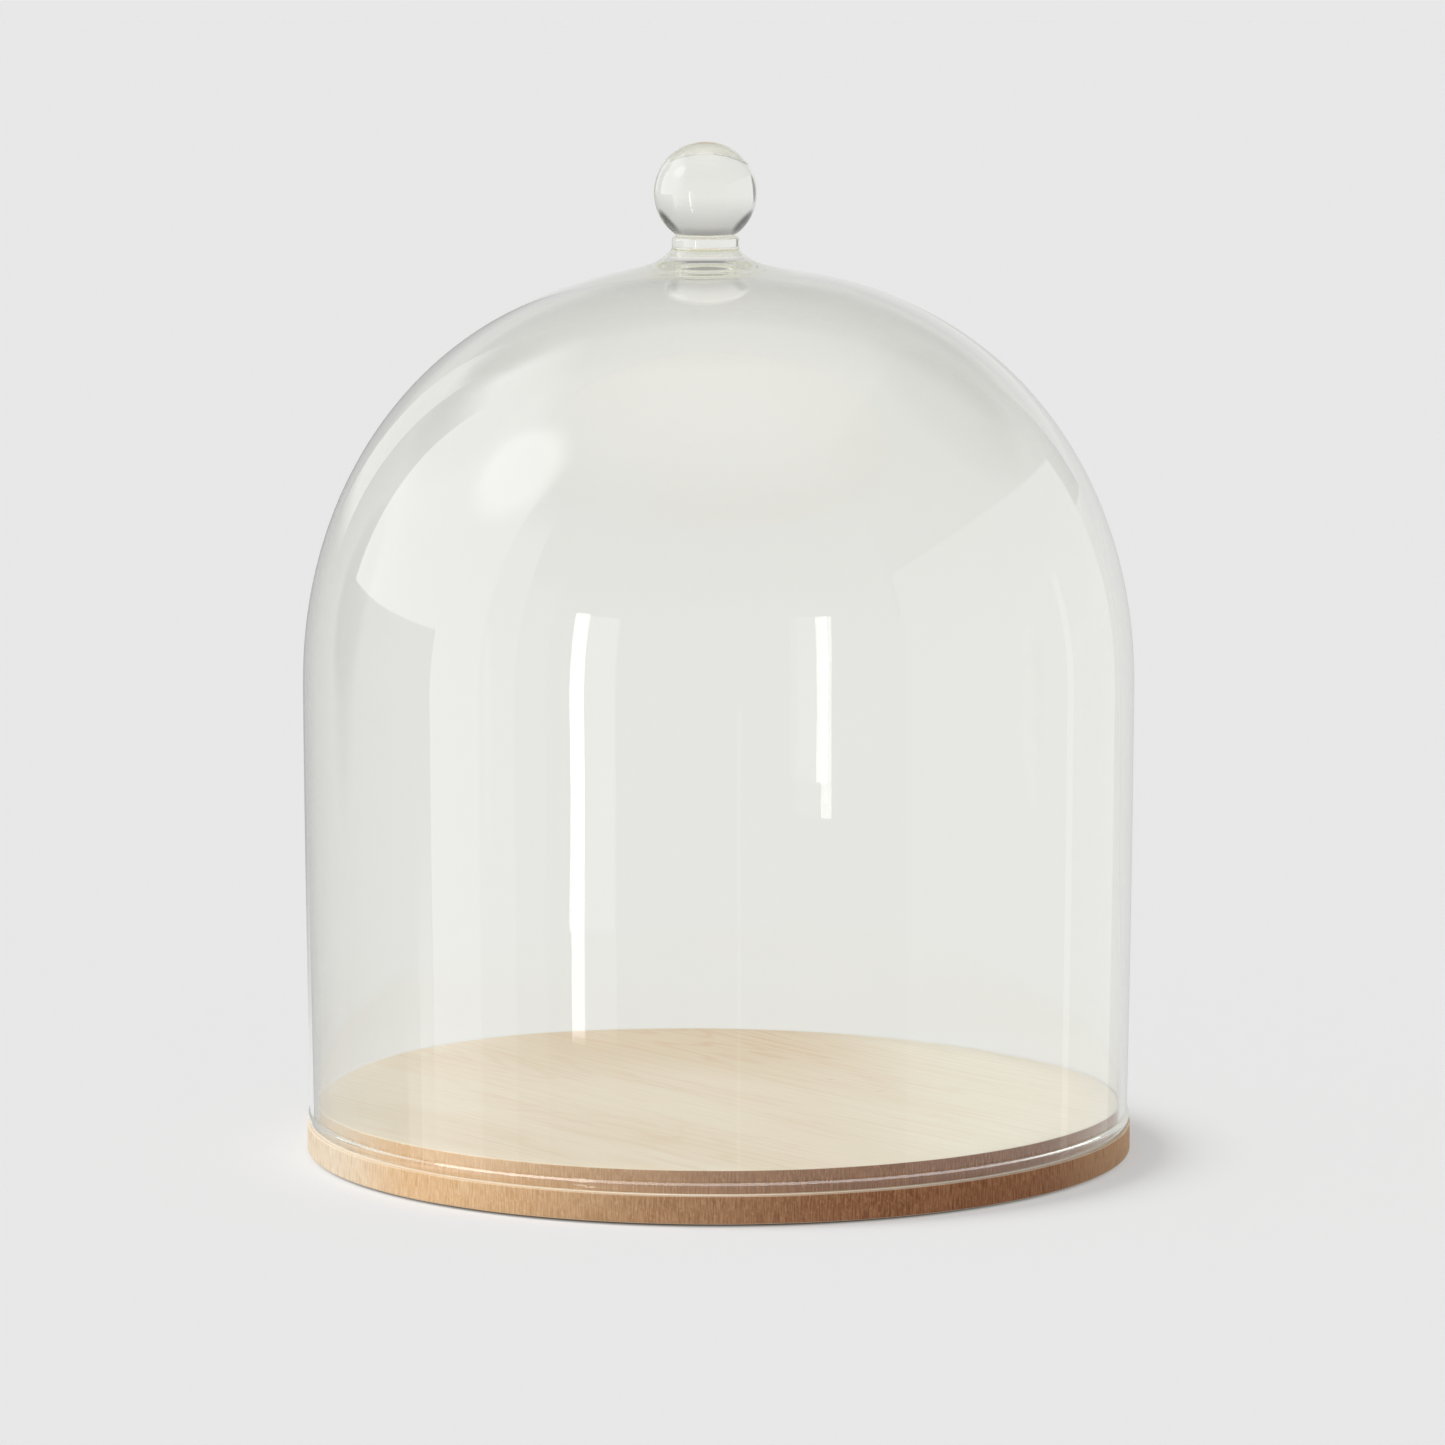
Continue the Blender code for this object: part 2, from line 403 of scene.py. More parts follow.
def make_boards():
    wood = wood_material()
    make_board("lower_board", "base_disc", BASE_LOW.z, BASE_HIGH.z, BASE_RADIUS, wood)
    make_board("raised_board", "plateau_disc", BASE_HIGH.z, PLATEAU_HIGH.z, PLATEAU_RADIUS, wood)


# ---------------------------------------------------------------- felt pads

PAD_SEGMENTS = 72
PAD_COUNT = 4
PAD_NAP = 0.00012
NAP_WAVES_PER_METRE = 900
NAP_START = 0.8
PAD_EDGE_SHARE = 0.4


def pad_ring(centre, pad_radius, radius, height):
    """One ring of a pad, a little ragged where it nears the pad's edge."""
    ragged = PAD_NAP * smooth_step(radius, pad_radius * NAP_START, pad_radius)
    points = []
    for angle in angles(PAD_SEGMENTS):
        place = Vector((radius * math.cos(angle), radius * math.sin(angle), height))
        size = radius + ragged * noise.noise(place * NAP_WAVES_PER_METRE) - PAD_NAP
        x, y = size * math.cos(angle), size * math.sin(angle)
        points.append((centre.x + x, centre.y + y, height))
    return points


def make_pad(number, felt):
    """A felt disc that reaches up to the lower board."""
    node = f"felt_pad_{number}"
    low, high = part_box(node)
    centre = (low + high) / 2
    radius = (high.x - low.x) / 2
    top = BASE_LOW.z
    mesh = bmesh.new()
    profile = board_rings(radius, low.z, top, (top - low.z) * PAD_EDGE_SHARE)
    rings = [add_ring(mesh, pad_ring(centre, radius, *ring)) for ring in profile]
    make_solid(mesh, rings, (centre.x, centre.y, low.z), (centre.x, centre.y, top))
    new_piece(mesh, f"foot_pad_{number}", felt, "base", (node,))


def make_pads():
    felt = felt_material()
    for number in range(1, PAD_COUNT + 1):
        make_pad(number, felt)


# ---------------------------------------------------------------- materials


class Shading:
    """A new material, with short calls that add a node and wire its inputs."""

    def __init__(self, name):
        self.material = bpy.data.materials.new(name)
        self.material.use_nodes = True
        self.tree = self.material.node_tree
        self.surface = self.tree.nodes["Principled BSDF"]
        self.output = self.tree.nodes["Material Output"]

    def add(self, kind, inputs=None, **settings):
        node = self.tree.nodes.new(kind)
        for name, value in settings.items():
            setattr(node, name, value)
        self.set(node, inputs or {})
        return node

    def set(self, node, inputs):
        for name, value in inputs.items():
            if isinstance(value, bpy.types.NodeSocket):
                self.tree.links.new(value, node.inputs[name])
            else:
                node.inputs[name].default_value = value

    def math(self, operation, first, second=0.0, third=0.0):
        node = self.add("ShaderNodeMath", {0: first, 1: second, 2: third}, operation=operation)
        return node.outputs[0]

    def between(self, value, low, high, to_low=0.0, to_high=1.0):
        """The value carried smoothly from one range to another, and held at its ends."""
        inputs = {"Value": value, "From Min": low, "From Max": high,
                  "To Min": to_low, "To Max": to_high}
        node = self.add("ShaderNodeMapRange", inputs, interpolation_type="SMOOTHSTEP")
        return node.outputs["Result"]

    def scaled(self, vector, scales):
        node = self.add("ShaderNodeVectorMath", {0: vector, 1: scales}, operation="MULTIPLY")
        return node.outputs[0]

    def noise(self, vector, cells, detail, distortion=0.0):
        """Noise with so many cells per metre along X, Y and Z."""
        inputs = {"Vector": self.scaled(vector, cells), "Scale": 1.0, "Detail": detail,
                  "Distortion": distortion}
        return self.add("ShaderNodeTexNoise", inputs).outputs["Fac"]

    def length(self, vector):
        return self.add("ShaderNodeVectorMath", {0: vector}, operation="LENGTH").outputs["Value"]

    def part(self, vector, axis):
        return self.add("ShaderNodeSeparateXYZ", {"Vector": vector}).outputs[axis]

    def mix(self, factor, first, second):
        inputs = {"Factor": factor, 6: first, 7: second}
        return self.add("ShaderNodeMix", inputs, data_type="RGBA").outputs[2]

    def layer(self, under, over, pattern, start, full, share=1.0):
        """One colour laid over another where a pattern goes from its start to its full value, by
        at most the share."""
        return self.mix(self.between(pattern, start, full, 0.0, share), under, over)


GLASS_TINT = (0.996, 0.998, 0.976, 1)
GLASS_IOR = 1.5
GLASS_DEPTH_COLOUR = (0.80, 0.85, 0.05, 1)
GLASS_DEPTH_DENSITY = 1.1
# Past this ray depth the glass glows with a painted pale tone of its own, the next colour
TRAPPED_DEPTH = 10.5
PAINTED_GLOW_FOR_TRAPPED_LIGHT = (0.70, 0.70, 0.685, 1)


def glass_material():
    """Clear soda-lime glass, faintly warm green through its depth. Light from lamps and light
    scattered by the wood pass through it unbent, so that what stands inside is lit. Where a ray
    is still in the glass after many bounces, the glass glows with a painted pale tone, not black."""
    glass = Shading("clear_glass")
    glass.set(glass.surface, {"Base Color": GLASS_TINT, "Roughness": 0.0, "IOR": GLASS_IOR,
                              "Transmission Weight": 1.0})
    ray = glass.add("ShaderNodeLightPath")
    clear = glass.add("ShaderNodeBsdfTransparent").outputs[0]
    surface = glass.surface.outputs[0]
    # Painted glow: the glass gives off a pale tone where a ray has bounced in it many times
    painted_glow = glass.add("ShaderNodeEmission", {"Color": PAINTED_GLOW_FOR_TRAPPED_LIGHT, "Strength": 1.0}).outputs[0]
    deep = glass.math("GREATER_THAN", ray.outputs["Ray Depth"], TRAPPED_DEPTH)
    inputs = {"Fac": deep, 1: surface, 2: painted_glow}
    surface = glass.add("ShaderNodeMixShader", inputs).outputs[0]
    for kind in ("Is Diffuse Ray", "Is Shadow Ray"):
        inputs = {"Fac": ray.outputs[kind], 1: surface, 2: clear}
        surface = glass.add("ShaderNodeMixShader", inputs).outputs[0]
    depth = glass.add("ShaderNodeVolumeAbsorption",
                      {"Color": GLASS_DEPTH_COLOUR, "Density": GLASS_DEPTH_DENSITY})
    glass.set(glass.output, {"Surface": surface, "Volume": depth.outputs[0]})
    glass.material.cycles.emission_sampling = "NONE"
    return glass.material


GRAIN_ANGLE = math.radians(52)
PALE = (0.85, 0.77, 0.63, 1)
CREAM = (0.80, 0.69, 0.53, 1)
SAPWOOD = (0.89, 0.84, 0.71, 1)
HEARTWOOD = (0.74, 0.60, 0.43, 1)
WARM = (0.68, 0.47, 0.28, 1)
STREAK = (0.48, 0.29, 0.15, 1)
# Painted light: the next colour is the edge's far left, paler where the key light falls
PAINTED_LIT_EDGE = (0.60, 0.505, 0.385, 1)
TAN = (0.59, 0.365, 0.185, 1)
BROWN = (0.19, 0.064, 0.024, 1)
DARK_BROWN = (0.11, 0.038, 0.016, 1)
# Painted light too: the paler fibres of the edge's far left
PAINTED_LIT_FIBRE = (0.70, 0.59, 0.45, 1)
TAN_FIBRE = (0.68, 0.49, 0.30, 1)
BROWN_FIBRE = (0.37, 0.17, 0.078, 1)

# Two dark flecks on the raised board, and half their size along and across the grain
FLECKS = ((0.0422, 0.0345), (0.0600, 0.0100))
FLECK_SIZE = (0.0022, 0.0005, 0.0005)

# Cells per metre of each pattern: on the flat along and across the grain, and on the edge round
# the board and up it
BAND_CELLS = (3.0, 16.0, 16.0)
FIBRE_CELLS = (14.0, 900.0, 900.0)
PORE_CELLS = (90.0, 1600.0, 1600.0)
RING_CELLS = (2.6, 26.0, 26.0)
SAW_CELLS = (2150.0, 170.0, 0.0)
TEAR_CELLS = (1150.0, 540.0, 0.0)
PATCH_CELLS = (38.0, 90.0, 0.0)
GROWTH_CELLS = (420.0, 0.0, 0.0)
GROWTH_SLANT = 1.8
RINGS_IN_NOISE = 9.0
LATE_WOOD_WIDTH = 0.22
LATE_WOOD_SHARE = 0.12
LATE_WOOD_HEART_RISE = 0.42

WOOD_BUMP_HEIGHT = 0.00012
WOOD_BUMP_STRENGTH = 0.6
FIBRE_HEIGHT_SHARE = 0.35
WOOD_ROUGHNESS = (0.55, 0.68)
WOOD_GLOSS = 0.15

# Where the zones of colour on the flat begin and end, in metres from the middle
HEART_X = -0.02
HEART_HALF_WIDTHS = (0.03, 0.10)
HEART_DEPTHS = (0.0, 0.11)
HEART_SHARE = 0.7
SAP_RIGHT = (0.02, 0.11)
SAP_LEFT = (-0.08, -0.15)
SAP_LEFT_SHARE = 0.25

# Where the edge's zones begin and end, in shares of the lower board's radius
END_GRAIN_SPAN = (0.20, 1.12)
# Painted light: the far left of the edge is paler where the key light falls
PAINTED_LIT_EDGE_SPAN = (-0.70, -0.92)
# Painted highlight: the tan far right tip of the edge
PAINTED_TIP_HIGHLIGHT_SPAN = (0.72, 1.03)

# How far the surface faces up or down, from where it is all edge to where it is all flat
SIDE_TURN = (0.35, 0.85)

# The ledge round the glass, where the flat takes some of the edge's colour: painted shade of the
# glass
RIM_SHADE_SPAN = (MOUTH_RADIUS - 0.001, BASE_RADIUS - 0.0006)
RIM_SHADE_SHARE = 0.60


def face_colour(wood, grain, x, y):
    """The flat of the board: long grain, paler sapwood right and left, warmer wood at the back.
    Gives the colour, and the fibres for the bump."""
    bands = wood.noise(grain, BAND_CELLS, 3.0, 0.6)
    fibres = wood.noise(grain, FIBRE_CELLS, 3.0)
    pores = wood.noise(grain, PORE_CELLS, 2.0)
    rings = wood.noise(grain, RING_CELLS, 1.0, 1.8)
    off_heart = wood.math("ABSOLUTE", wood.math("ADD", x, -HEART_X))
    heart = wood.math("MULTIPLY", wood.between(off_heart, *HEART_HALF_WIDTHS, 1.0, 0.0),
                      wood.between(y, *HEART_DEPTHS))
    sap = wood.math("MAXIMUM", wood.between(x, *SAP_RIGHT),
                    wood.between(x, *SAP_LEFT, 0.0, SAP_LEFT_SHARE))
    colour = wood.layer(PALE, CREAM, bands, 0.35, 0.75)
    colour = wood.mix(sap, colour, SAPWOOD)
    colour = wood.mix(wood.math("MULTIPLY", heart, HEART_SHARE), colour, HEARTWOOD)

    cycle = wood.math("FRACT", wood.math("MULTIPLY", rings, RINGS_IN_NOISE))
    from_ring = wood.math("ABSOLUTE", wood.math("SUBTRACT", cycle, 0.5))
    late_wood = wood.between(from_ring, 0.0, LATE_WOOD_WIDTH, 1.0, 0.0)
    share = wood.math("MULTIPLY_ADD", heart, LATE_WOOD_HEART_RISE, LATE_WOOD_SHARE)
    share = wood.math("MULTIPLY", share, wood.between(bands, 0.35, 0.65, 0.35, 1.0))
    colour = wood.mix(wood.math("MULTIPLY", late_wood, share), colour, WARM)
    colour = wood.layer(colour, WARM, fibres, 0.45, 0.78, 0.26)
    return wood.layer(colour, STREAK, pores, 0.62, 0.80, 0.22), fibres


def edge_colour(wood, grain, x, y, z):
    """The sawn edge: tan along the grain, brown across it, hatched upright by the saw. Light is
    painted on it: paler at the far left, where the key light falls, and a tan highlight on the far
    right tip. Gives the colour, and the saw for the bump."""
    turn = wood.math("MULTIPLY", wood.math("ARCTAN2", y, x), BASE_RADIUS)
    unrolled = wood.add("ShaderNodeCombineXYZ", {"X": turn, "Y": z}).outputs[0]
    saw = wood.noise(unrolled, SAW_CELLS, 3.0)
    tear = wood.noise(unrolled, TEAR_CELLS, 4.0, 0.8)
    patches = wood.noise(unrolled, PATCH_CELLS, 2.0, 0.5)
    slant = wood.math("MULTIPLY_ADD", z, GROWTH_SLANT, turn)
    slanted = wood.add("ShaderNodeCombineXYZ", {"X": slant}).outputs[0]
    growth = wood.noise(slanted, GROWTH_CELLS, 2.0)
    along = wood.math("ABSOLUTE", wood.part(grain, "X"))
    end_grain = wood.between(along, *[share * BASE_RADIUS for share in END_GRAIN_SPAN])
    # Painted light: paler where the key light falls on the far left, a tan highlight on the far
    # right tip
    pale = wood.between(x, *[share * BASE_RADIUS for share in PAINTED_LIT_EDGE_SPAN])
    tan = wood.between(x, *[share * BASE_RADIUS for share in PAINTED_TIP_HIGHLIGHT_SPAN])
    colour = wood.mix(end_grain, TAN, BROWN)
    colour = wood.mix(pale, colour, PAINTED_LIT_EDGE)
    colour = wood.mix(tan, colour, TAN)
    fibre = wood.mix(end_grain, TAN_FIBRE, BROWN_FIBRE)
    fibre = wood.mix(pale, fibre, PAINTED_LIT_FIBRE)
    colour = wood.layer(colour, fibre, patches, 0.35, 0.72, 0.30)
    colour = wood.layer(colour, fibre, growth, 0.45, 0.65, 0.25)
    colour = wood.layer(colour, fibre, saw, 0.48, 0.64, 0.68)
    colour = wood.layer(colour, fibre, tear, 0.52, 0.68, 0.85)
    darker = wood.mix(end_grain, STREAK, DARK_BROWN)
    return wood.layer(colour, darker, saw, 0.48, 0.34, 0.58), saw


def add_flecks(wood, position, colour):
    """Small dark dashes along the grain of the raised board's top."""
    for fleck_x, fleck_y in FLECKS:
        shifted = wood.add("ShaderNodeMapping", {"Vector": position,
                                                 "Location": (-fleck_x, -fleck_y, -PLATEAU_HIGH.z)})
        turned = wood.add("ShaderNodeMapping", {"Vector": shifted.outputs[0],
                                                "Rotation": (0, 0, GRAIN_ANGLE),
                                                "Scale": [1 / size for size in FLECK_SIZE]})
        colour = wood.layer(colour, STREAK, wood.length(turned.outputs[0]), 1.0, 0.3, 0.8)
    return colour


def wood_material():
    """Pale birch with its grain across the board, browner where the saw has crossed the fibres."""
    wood = Shading("pale_wood")
    place = wood.add("ShaderNodeTexCoord")
    position = place.outputs["Object"]
    turned = wood.add("ShaderNodeMapping", {"Vector": position, "Rotation": (0, 0, GRAIN_ANGLE)})
    grain = turned.outputs[0]
    x, y, z = wood.add("ShaderNodeSeparateXYZ", {"Vector": position}).outputs
    face, fibres = face_colour(wood, grain, x, y)
    edge, saw = edge_colour(wood, grain, x, y, z)

    facing = wood.math("ABSOLUTE", wood.part(place.outputs["Normal"], "Z"))
    on_side = wood.between(facing, *SIDE_TURN, 1.0, 0.0)
    radius = wood.length(wood.scaled(position, (1, 1, 0)))
    # Painted shade: the ledge by the glass lip is browned toward the edge's colour
    painted_rim_shade = wood.between(radius, *RIM_SHADE_SPAN, 0.0, RIM_SHADE_SHARE)
    colour = wood.mix(wood.math("MAXIMUM", on_side, painted_rim_shade), face, edge)
    colour = add_flecks(wood, position, colour)
    fibre_height = wood.math("MULTIPLY", fibres, FIBRE_HEIGHT_SHARE)
    height = wood.math("MULTIPLY_ADD", saw, on_side, fibre_height)
    bump = wood.add("ShaderNodeBump", {"Height": height, "Strength": WOOD_BUMP_STRENGTH,
                                       "Distance": WOOD_BUMP_HEIGHT})
    rough = wood.between(fibres, 0.3, 0.7, *WOOD_ROUGHNESS)
    wood.set(wood.surface, {"Base Color": colour, "Roughness": rough,
                            "Specular IOR Level": WOOD_GLOSS, "Normal": bump.outputs[0]})
    return wood.material


FELT_DEEP = (0.035, 0.030, 0.027, 1)
FELT_TOP = (0.11, 0.10, 0.09, 1)
LINT = (0.25, 0.23, 0.21, 1)
TANGLE_CELLS = (2600.0, 2600.0, 2600.0)
LINT_CELLS = (700.0, 700.0, 700.0)
FELT_BUMP_HEIGHT = 0.0002
FELT_BUMP_STRENGTH = 0.9
FELT_ROUGHNESS = 0.95
FELT_SHEEN = 0.5


def felt_material():
    """Dark matt felt, a tangle of fibres with a little lint in it."""
    felt = Shading("dark_felt")
    place = felt.add("ShaderNodeTexCoord").outputs["Object"]
    tangle = felt.noise(place, TANGLE_CELLS, 4.0, 1.2)
    lint = felt.noise(place, LINT_CELLS, 2.0)
    colour = felt.mix(tangle, FELT_DEEP, FELT_TOP)
    colour = felt.layer(colour, LINT, lint, 0.62, 0.75, 0.35)
    bump = felt.add("ShaderNodeBump", {"Height": tangle, "Strength": FELT_BUMP_STRENGTH,
                                       "Distance": FELT_BUMP_HEIGHT})
    felt.set(felt.surface, {"Base Color": colour, "Roughness": FELT_ROUGHNESS,
                            "Sheen Weight": FELT_SHEEN, "Sheen Roughness": FELT_SHEEN,
                            "Normal": bump.outputs[0]})
    return felt.material


# ---------------------------------------------------------------- studio

BACKGROUND = 0.807
# (sine of the elevation, tone) of the light all round
SURROUNDINGS = ((0.02, BACKGROUND), (0.22, 0.68), (0.75, 0.36))
AMBIENT_SHARE = 0.35
CAMERA_DISTANCE = 15 * BASE_RADIUS
CAMERA_HEIGHT = 2.878 * BASE_RADIUS
CAMERA_SIDE = 0.0093 * BASE_RADIUS
CAMERA_PITCH = math.radians(6.992)
CAMERA_LENS = 155.67
SENSOR_WIDTH = 36.0
LIGHT_BOUNCES = 24
FLOOR_RADIUS = 40.0
FLOOR_SEGMENTS = 96
FLOOR_ALBEDO = 0.48
# The floor glows a little, out to the tone of the backdrop; the glow fades out under the board's
# edge, which paints its contact shadow
FLOOR_GLOW = 0.341
PAINTED_CONTACT_SHADOW_SPAN = (BASE_RADIUS - 0.005, BASE_RADIUS)


def grey(tone):
    return (tone, tone, tone, 1)


def toward(azimuth, elevation):
    """Azimuth 0 is toward the camera and 90 is to its right, in degrees."""
    around, up = math.radians(azimuth), math.radians(elevation)
    return Vector((math.sin(around) * math.cos(up), -math.cos(around) * math.cos(up), math.sin(up)))


def make_camera():
    data = bpy.data.cameras.new("camera")
    data.lens = CAMERA_LENS
    data.sensor_width = SENSOR_WIDTH
    camera = link_to_scene(bpy.data.objects.new("camera", data))
    camera.location = (CAMERA_SIDE, -CAMERA_DISTANCE, CAMERA_HEIGHT)
    camera.rotation_euler = (math.pi / 2 - CAMERA_PITCH, 0.0, 0.0)
    bpy.context.scene.camera = camera


def make_world():
    """Even light all round, darker overhead, that lights matt surfaces less than it shows in the
    glass. The camera sees a plain backdrop."""
    world = bpy.data.worlds.new("studio")
    bpy.context.scene.world = world
    world.use_nodes = True
    nodes, links = world.node_tree.nodes, world.node_tree.links
    plain = nodes["Background"]
    plain.inputs["Color"].default_value = grey(BACKGROUND)
    around = nodes.new("ShaderNodeBackground")
    direction = nodes.new("ShaderNodeTexCoord")
    parts = nodes.new("ShaderNodeSeparateXYZ")
    ramp = nodes.new("ShaderNodeValToRGB")
    low, high = ramp.color_ramp.elements
    middle = ramp.color_ramp.elements.new(0.5)
    for stop, (height, tone) in zip((low, middle, high), SURROUNDINGS):
        stop.position = height
        stop.color = grey(tone)
    links.new(direction.outputs["Generated"], parts.inputs[0])
    links.new(parts.outputs["Z"], ramp.inputs[0])
    links.new(ramp.outputs[0], around.inputs["Color"])
    ray = nodes.new("ShaderNodeLightPath")
    strength = nodes.new("ShaderNodeMapRange")
    strength.inputs["To Min"].default_value = 1.0
    strength.inputs["To Max"].default_value = AMBIENT_SHARE
    links.new(ray.outputs["Is Diffuse Ray"], strength.inputs["Value"])
    links.new(strength.outputs[0], around.inputs["Strength"])
    mix = nodes.new("ShaderNodeMixShader")
    links.new(ray.outputs["Is Camera Ray"], mix.inputs["Fac"])
    links.new(around.outputs[0], mix.inputs[1])
    links.new(plain.outputs[0], mix.inputs[2])
    links.new(mix.outputs[0], nodes["World Output"].inputs["Surface"])


# How the glass shows a card: by reflection off its face, and by rays that come out of it.
REFLECTED, REFRACTED, BOTH = (True, False), (False, True), (True, True)
# name, one end and the other as (azimuth, distance), foot and top, over how much height its light
# fades in from the foot and out to the top, tone, how the glass shows it
CARDS = (
    ("left_window", (-150, 2.2), (-66, 2.2), (-0.6, 3.4), (0.01, 1.50), 1.90, REFLECTED),
    ("left_side", (-66, 2.0), (-55, 2.0), (-0.6, 2.0), (0.01, 0.70), 1.40, REFLECTED),
    ("left_front", (-55, 2.0), (-45, 2.0), (-0.6, 1.2), (0.01, 0.30), 0.95, REFLECTED),
    ("front_board", (-45, 1.4), (50, 1.5), (-0.4, 0.59), (0.01, 0.02), 0.66, REFLECTED),
    ("right_wall", (50, 1.22), (136, 1.60), (-0.5, 0.76), (0.01, 0.02), 0.92, REFLECTED),
    ("right_rear", (136, 1.60), (172, 1.60), (-0.5, 0.50), (0.01, 0.10), 0.60, REFLECTED),
    ("right_upper", (50, 1.85), (150, 3.5), (0.7, 3.2), (0.01, 0.60), 0.32, REFLECTED),
    ("left_corner", (-118.5, 0.94), (-136, 0.94), (-0.60, 1.10), (0.01, 0.30), 0.25, REFLECTED),
    ("left_rim", (-136, 0.95), (-149, 0.95), (0.25, 0.95), (0.01, 0.30), 0.95, REFLECTED),
    ("left_low", (-136, 0.94), (-152, 0.94), (-0.60, 0.39), (0.01, 0.12), 0.28, REFLECTED),
    ("left_rear", (-149, 0.95), (-170, 0.95), (-0.15, 0.60), (0.15, 0.20), 0.35, REFLECTED),
    ("slit_glow", (-33.2, 0.79), (-25.0, 0.79), (-0.07, 0.43), (0.01, 0.01), 1.30, BOTH),
    ("slit_light", (-36.4, 0.78), (-33.0, 0.78), (-0.065, 0.43), (0.01, 0.01), 6.50, BOTH),
    ("thin_line", (4.6, 0.90), (5.6, 0.90), (-0.20, 0.20), (0.05, 0.05), 1.10, REFLECTED),
    ("side_line", (103, 0.90), (106, 0.90), (-0.30, 0.45), (0.05, 0.10), 1.40, REFLECTED),
)
# name, azimuth, elevation, distance, half width, half height, tone, how the glass shows it
SOFT_CARDS = (
    ("soft_glow", -80, 40, 1.5, 0.42, 0.42, 3.40, REFLECTED),
    ("back_high", 180, 42, 2.0, 1.60, 0.80, 0.20, REFLECTED),
    ("right_high", 145, 32, 1.5, 0.50, 0.45, 0.10, REFLECTED),
    ("left_high", -150, 35, 1.5, 0.45, 0.40, 0.20, REFLECTED),
    ("back_dark", 180, 56, 2.0, 1.50, 1.10, 0.30, REFRACTED),
    ("right_dark", 122, 34, 0.9, 0.40, 0.32, 0.05, REFRACTED),
    ("left_dark", -122, 34, 0.9, 0.40, 0.32, 0.05, REFRACTED),
    ("left_edge", -117, -4, 0.8, 0.13, 0.26, 0.18, REFRACTED),
)
SOFT_CARD_HEIGHT = 0.33
SOFT_CARD_SEGMENTS = 48
SOFT_CARD_FADE = (0.5, 1.0)

# name, one end and the other in azimuth, tone
LIP_CARDS = (
    ("lip_ring", (-20, 260), 6.0),
    ("lip_left", (-52, -20), 9.0),
    ("lip_side", (-100, -52), 2.5),
)
LIP_CARD_RADII = (0.156, 0.200)
LIP_CARD_HEIGHT = 0.045
LIP_CARD_STEP = 2

# A dark flag on the left, whose foot goes down in steps from its first end to its second
FLAG_STEPS = 8
FLAG_AZIMUTH = (-79, -119)
FLAG_FOOT = (-0.20, -0.60)
FLAG_FADE = (0.26, 0.01)
FLAG_TOP = 0.33
FLAG_TOP_FADE = 0.01
FLAG_DISTANCE = 0.95
FLAG_TONE = 0.20


def card_material(name, tone, clear_share):
    """Plain light, seen less and less as its clear share rises. The share is made by a function
    of the new shading and the outputs of its Texture Coordinate node."""
    card = Shading(name)
    light = card.add("ShaderNodeEmission", {"Color": grey(1.0), "Strength": tone}).outputs[0]
    clear = card.add("ShaderNodeBsdfTransparent").outputs[0]
    place = card.add("ShaderNodeTexCoord").outputs
    mix = card.add("ShaderNodeMixShader", {"Fac": clear_share(card, place), 1: light, 2: clear})
    card.set(card.output, {"Surface": mix.outputs[0]})
    card.material.cycles.emission_sampling = "NONE"
    return card.material


def add_card(mesh, name, material, shown):
    """Cards stand round the object and show only in its glass."""
    card = new_object(mesh, name, material)
    card.visible_camera = card.visible_diffuse = card.visible_shadow = False
    card.visible_volume_scatter = False
    card.visible_glossy, card.visible_transmission = shown
    return card


def make_card(name, one_end, other_end, span, fades, tone, shown):
    (foot, top), (foot_fade, top_fade) = span, fades

    def clear_at_ends(card, place):
        height = card.part(place["Object"], "Z")
        below = card.between(height, foot, foot + foot_fade, 1.0, 0.0)
        return card.math("MAXIMUM", below, card.between(height, top - top_fade, top))

    mesh = bmesh.new()
    ends = [toward(azimuth, 0) * distance for azimuth, distance in (one_end, other_end)]
    corners = [(ends[0], foot), (ends[1], foot), (ends[1], top), (ends[0], top)]
    mesh.faces.new([mesh.verts.new(end + Vector((0, 0, z))) for end, z in corners])
    add_card(mesh, name, card_material(name, tone, clear_at_ends), shown)


def make_soft_card(name, azimuth, elevation, distance, half_width, half_height, tone, shown):
    def clear_outward(card, place):
        return card.between(card.length(place["Object"]), *SOFT_CARD_FADE)

    mesh = bmesh.new()
    bmesh.ops.create_circle(mesh, cap_ends=True, segments=SOFT_CARD_SEGMENTS, radius=1.0)
    card = add_card(mesh, name, card_material(name, tone, clear_outward), shown)
    away = toward(azimuth, elevation)
    card.location = away * distance + Vector((0, 0, SOFT_CARD_HEIGHT))
    card.rotation_euler = away.to_track_quat("Z", "Y").to_euler()
    card.scale = (half_width, half_height, 1.0)


def make_lip_card(name, azimuths, tone):
    """Part of a flat ring just over the ledge, lit on its underside only, so that the lip's bead
    shows as a line."""
    def clear_from_above(card, place):
        return card.between(card.part(place["Normal"], "Z"), -0.5, 0.5)

    mesh = bmesh.new()
    first, last = azimuths
    turns = [first] + spread(first, last, (last - first) // LIP_CARD_STEP)
    lift = Vector((0, 0, LIP_CARD_HEIGHT))
    near, far = [add_ring(mesh, [toward(turn, 0) * radius + lift for turn in turns])
                 for radius in LIP_CARD_RADII]
    for i in range(len(turns) - 1):
        mesh.faces.new((near[i], near[i + 1], far[i + 1], far[i]))
    add_card(mesh, name, card_material(name, tone, clear_from_above), REFLECTED)


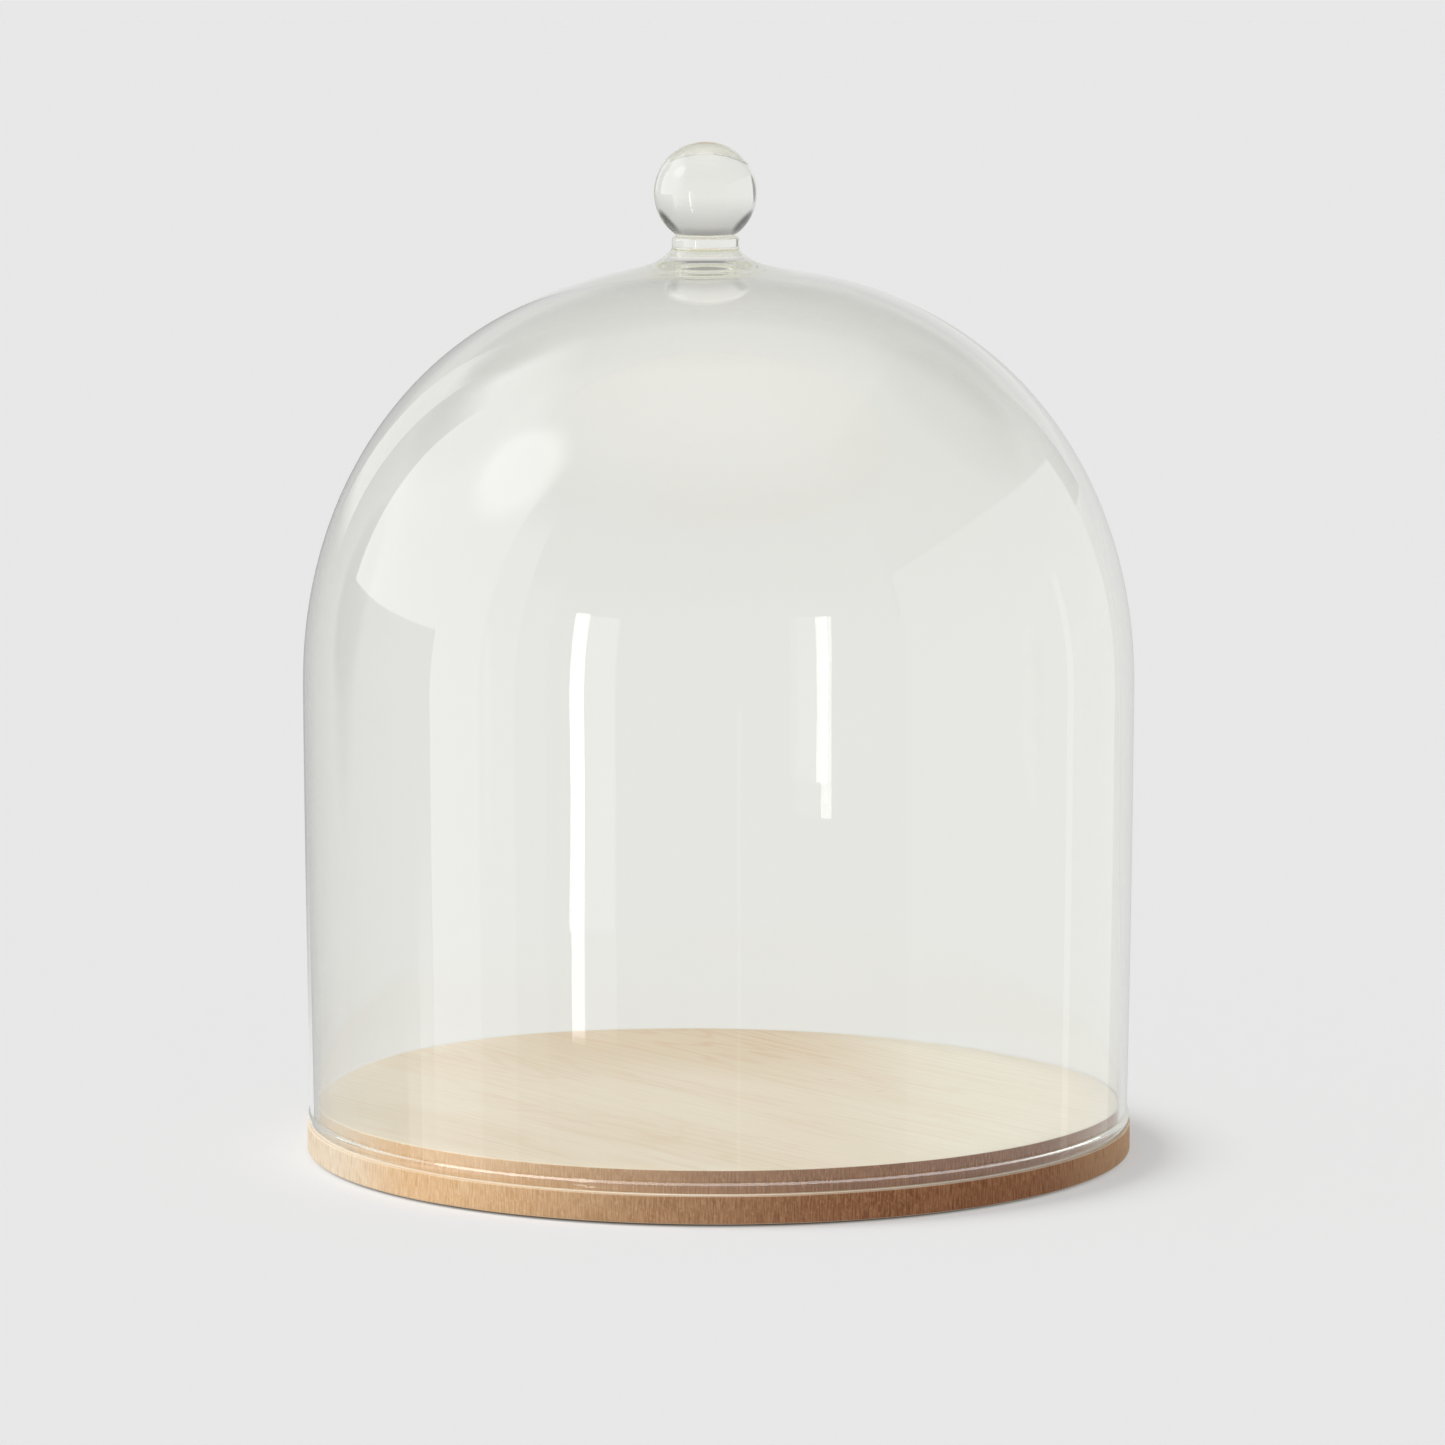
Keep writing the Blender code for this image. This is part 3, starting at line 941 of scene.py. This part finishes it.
def make_flag():
    """The dark flag, as one card for each step."""
    def part_way(ends, share):
        return ends[0] + (ends[1] - ends[0]) * share

    for i in range(FLAG_STEPS):
        ends = [(part_way(FLAG_AZIMUTH, edge / FLAG_STEPS), FLAG_DISTANCE) for edge in (i, i + 1)]
        share = i / (FLAG_STEPS - 1)
        span = (part_way(FLAG_FOOT, share), FLAG_TOP)
        fades = (part_way(FLAG_FADE, share), FLAG_TOP_FADE)
        make_card(f"left_flag_{i + 1}", *ends, span, fades, FLAG_TONE, REFLECTED)


# name, azimuth, elevation, width of the source in degrees, strength
SUNS = (("key_light", -95, 36, 35, 2.6), ("fill_light", -20, 35, 100, 1.4))


def make_lights():
    for name, azimuth, elevation, spread_angle, strength in SUNS:
        data = bpy.data.lights.new(name, "SUN")
        data.angle = math.radians(spread_angle)
        data.energy = strength
        light = link_to_scene(bpy.data.objects.new(name, data))
        light.rotation_euler = toward(azimuth, elevation).to_track_quat("Z", "Y").to_euler()
        light.visible_glossy = False
        light.visible_transmission = False


def make_floor():
    paper = Shading("floor")
    place = paper.add("ShaderNodeTexCoord").outputs["Object"]
    # Painted contact shadow: no glow under the board's edge
    glow = paper.between(paper.length(place), *PAINTED_CONTACT_SHADOW_SPAN, 0.0, FLOOR_GLOW)
    paper.set(paper.surface, {"Base Color": grey(FLOOR_ALBEDO), "Roughness": 1.0,
                              "Specular IOR Level": 0.0, "Emission Color": grey(1.0),
                              "Emission Strength": glow})
    mesh = bmesh.new()
    bmesh.ops.create_circle(mesh, cap_ends=True, segments=FLOOR_SEGMENTS, radius=FLOOR_RADIUS)
    floor = new_object(mesh, "floor", paper.material)
    floor.visible_glossy = False


def main():
    make_camera()
    make_world()
    make_lights()
    for card in CARDS:
        make_card(*card)
    make_flag()
    for card in SOFT_CARDS:
        make_soft_card(*card)
    for card in LIP_CARDS:
        make_lip_card(*card)
    make_floor()
    make_glass()
    make_boards()
    make_pads()
    bpy.context.scene.view_settings.view_transform = "Standard"
    paths = bpy.context.scene.cycles
    paths.max_bounces = paths.glossy_bounces = paths.transmission_bounces = LIGHT_BOUNCES


main()
